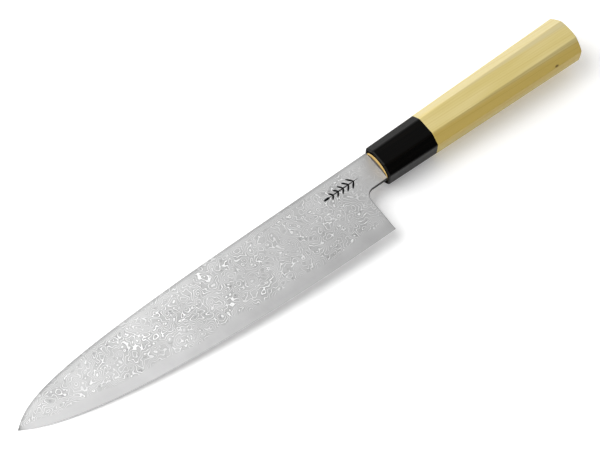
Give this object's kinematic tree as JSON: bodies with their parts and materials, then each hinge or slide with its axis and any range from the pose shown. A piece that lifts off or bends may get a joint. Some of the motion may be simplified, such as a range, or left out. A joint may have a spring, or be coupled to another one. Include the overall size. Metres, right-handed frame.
{
  "type": "chef knife",
  "caption": "Chef's knife with a pointed double-bevel blade of layered steel, a black horn ferrule and a pale octagonal wooden handle.",
  "frame": {"origin": "centre of the ferrule's front face, on the handle's axis and in the blade's middle plane", "axes": "+X runs from the tip to the butt of the handle, +Y from the edge to the spine, +Z out of the blade's left face"},
  "size_m": [0.4015, 0.0518, 0.022],
  "materials": {
    "core_steel": "satin",
    "layered_steel": "etched, patterned",
    "horn": "soft gloss, dark horn",
    "wood": "unvarnished, fine straight grain",
    "resin": "dull"
  },
  "bodies": {
    "root": {"blade_core": "core_steel", "cladding_left": "layered_steel", "cladding_right": "layered_steel", "ferrule": "horn", "handle": "wood", "tang_resin": "resin"}
  },
  "joints": []
}
